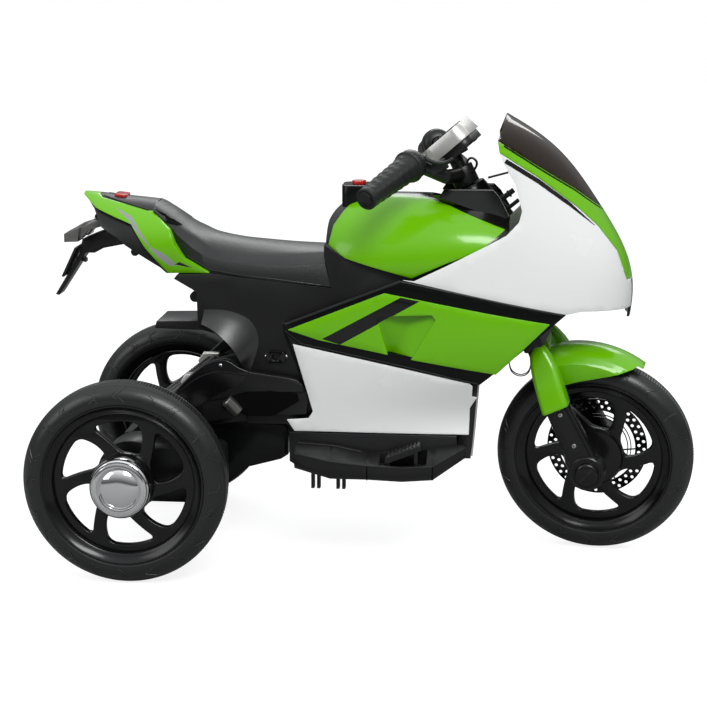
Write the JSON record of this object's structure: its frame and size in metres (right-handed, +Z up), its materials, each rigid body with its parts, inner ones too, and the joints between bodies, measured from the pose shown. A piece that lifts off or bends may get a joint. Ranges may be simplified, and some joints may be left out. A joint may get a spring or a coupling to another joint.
{
  "type": "child's ride-on three-wheeled motorcycle",
  "caption": "Child's battery ride-on motorcycle with a steered front wheel, driven rear wheels, a fairing with a tinted screen, a seat, side panels and footrests.",
  "frame": {"origin": "on the ground below the middle of the whole object", "axes": "+X forward, +Y to the rider's left, +Z up"},
  "size_m": [1.017, 0.554, 0.6912],
  "materials": {
    "black_gloss": "gloss",
    "black_plastic": "satin",
    "black_seat": "textured",
    "chrome": "polished",
    "green_gloss": "gloss",
    "grip_rubber": "matte",
    "red_plastic": "gloss",
    "silver": "metallic",
    "steel": "plain",
    "tinted_screen": "gloss",
    "tyre_rubber": "satin",
    "white_gloss": "gloss"
  },
  "bodies": {
    "chassis": {"battery": "black_plastic", "charge_socket": "black_plastic", "fairing_left": "white_gloss", "fairing_right": "white_gloss", "floor_pan": "black_plastic", "foot_pedal": "black_plastic", "footrests": "black_plastic", "gearboxes": "black_plastic", "grille": "black_plastic", "headlight": "black_gloss", "indicators": "silver", "lower_panel_left": "white_gloss", "lower_panel_right": "white_gloss", "main_body": "black_plastic", "nose_band": "green_gloss", "number_plate": "black_plastic", "plate_bracket": "black_plastic", "power_button": "red_plastic", "rear_axle": "steel", "rear_beam": "black_plastic", "seat": "black_seat", "side_frame_left": "black_plastic", "side_frame_right": "black_plastic", "side_panel_left": "green_gloss", "side_panel_right": "green_gloss", "steering_head": "black_plastic", "swing_arms": "black_plastic", "tail_cowl": "green_gloss", "tail_lamp": "red_plastic", "tail_top": "black_plastic", "tank": "green_gloss", "tank_cover": "black_plastic", "undertail": "black_plastic", "windscreen": "tinted_screen"},
    "steering": {"brake_levers": "black_plastic", "column_cover": "black_plastic", "dash_base": "black_plastic", "dash_face": "silver", "fork_covers": "green_gloss", "fork_crown": "black_plastic", "fork_leg_left": "black_plastic", "fork_leg_right": "black_plastic", "front_axle": "steel", "front_fender": "green_gloss", "grips": "grip_rubber", "handlebar": "black_plastic"},
    "front_wheel": {"brake_disc": "black_gloss", "front_rim": "black_gloss", "front_tyre": "tyre_rubber"},
    "rear_wheel_right": {"hub_cap_right": "chrome", "rear_rim_right": "black_gloss", "rear_tyre_right": "tyre_rubber"},
    "rear_wheel_left": {"hub_cap_left": "chrome", "rear_rim_left": "black_gloss", "rear_tyre_left": "tyre_rubber"}
  },
  "joints": [
    {"name": "steering_turn", "type": "hinge", "parent": "chassis", "child": "steering", "pos_m": [0.3535, 0, 0.15555], "axis": [-0.4384, 0, 0.8988], "range_deg": [-15, 35]},
    {"name": "front_wheel_spin", "type": "hinge", "parent": "steering", "child": "front_wheel", "pos_m": [0.3535, 0, 0.15555], "axis": [0.1561, 0.9848, 0.0761], "continuous": true},
    {"name": "rear_wheel_right_spin", "type": "hinge", "parent": "chassis", "child": "rear_wheel_right", "pos_m": [-0.3535, -0.224, 0.155], "axis": [0, 1, 0], "continuous": true},
    {"name": "rear_wheel_left_spin", "type": "hinge", "parent": "chassis", "child": "rear_wheel_left", "pos_m": [-0.3535, 0.224, 0.155], "axis": [0, 1, 0], "continuous": true}
  ]
}
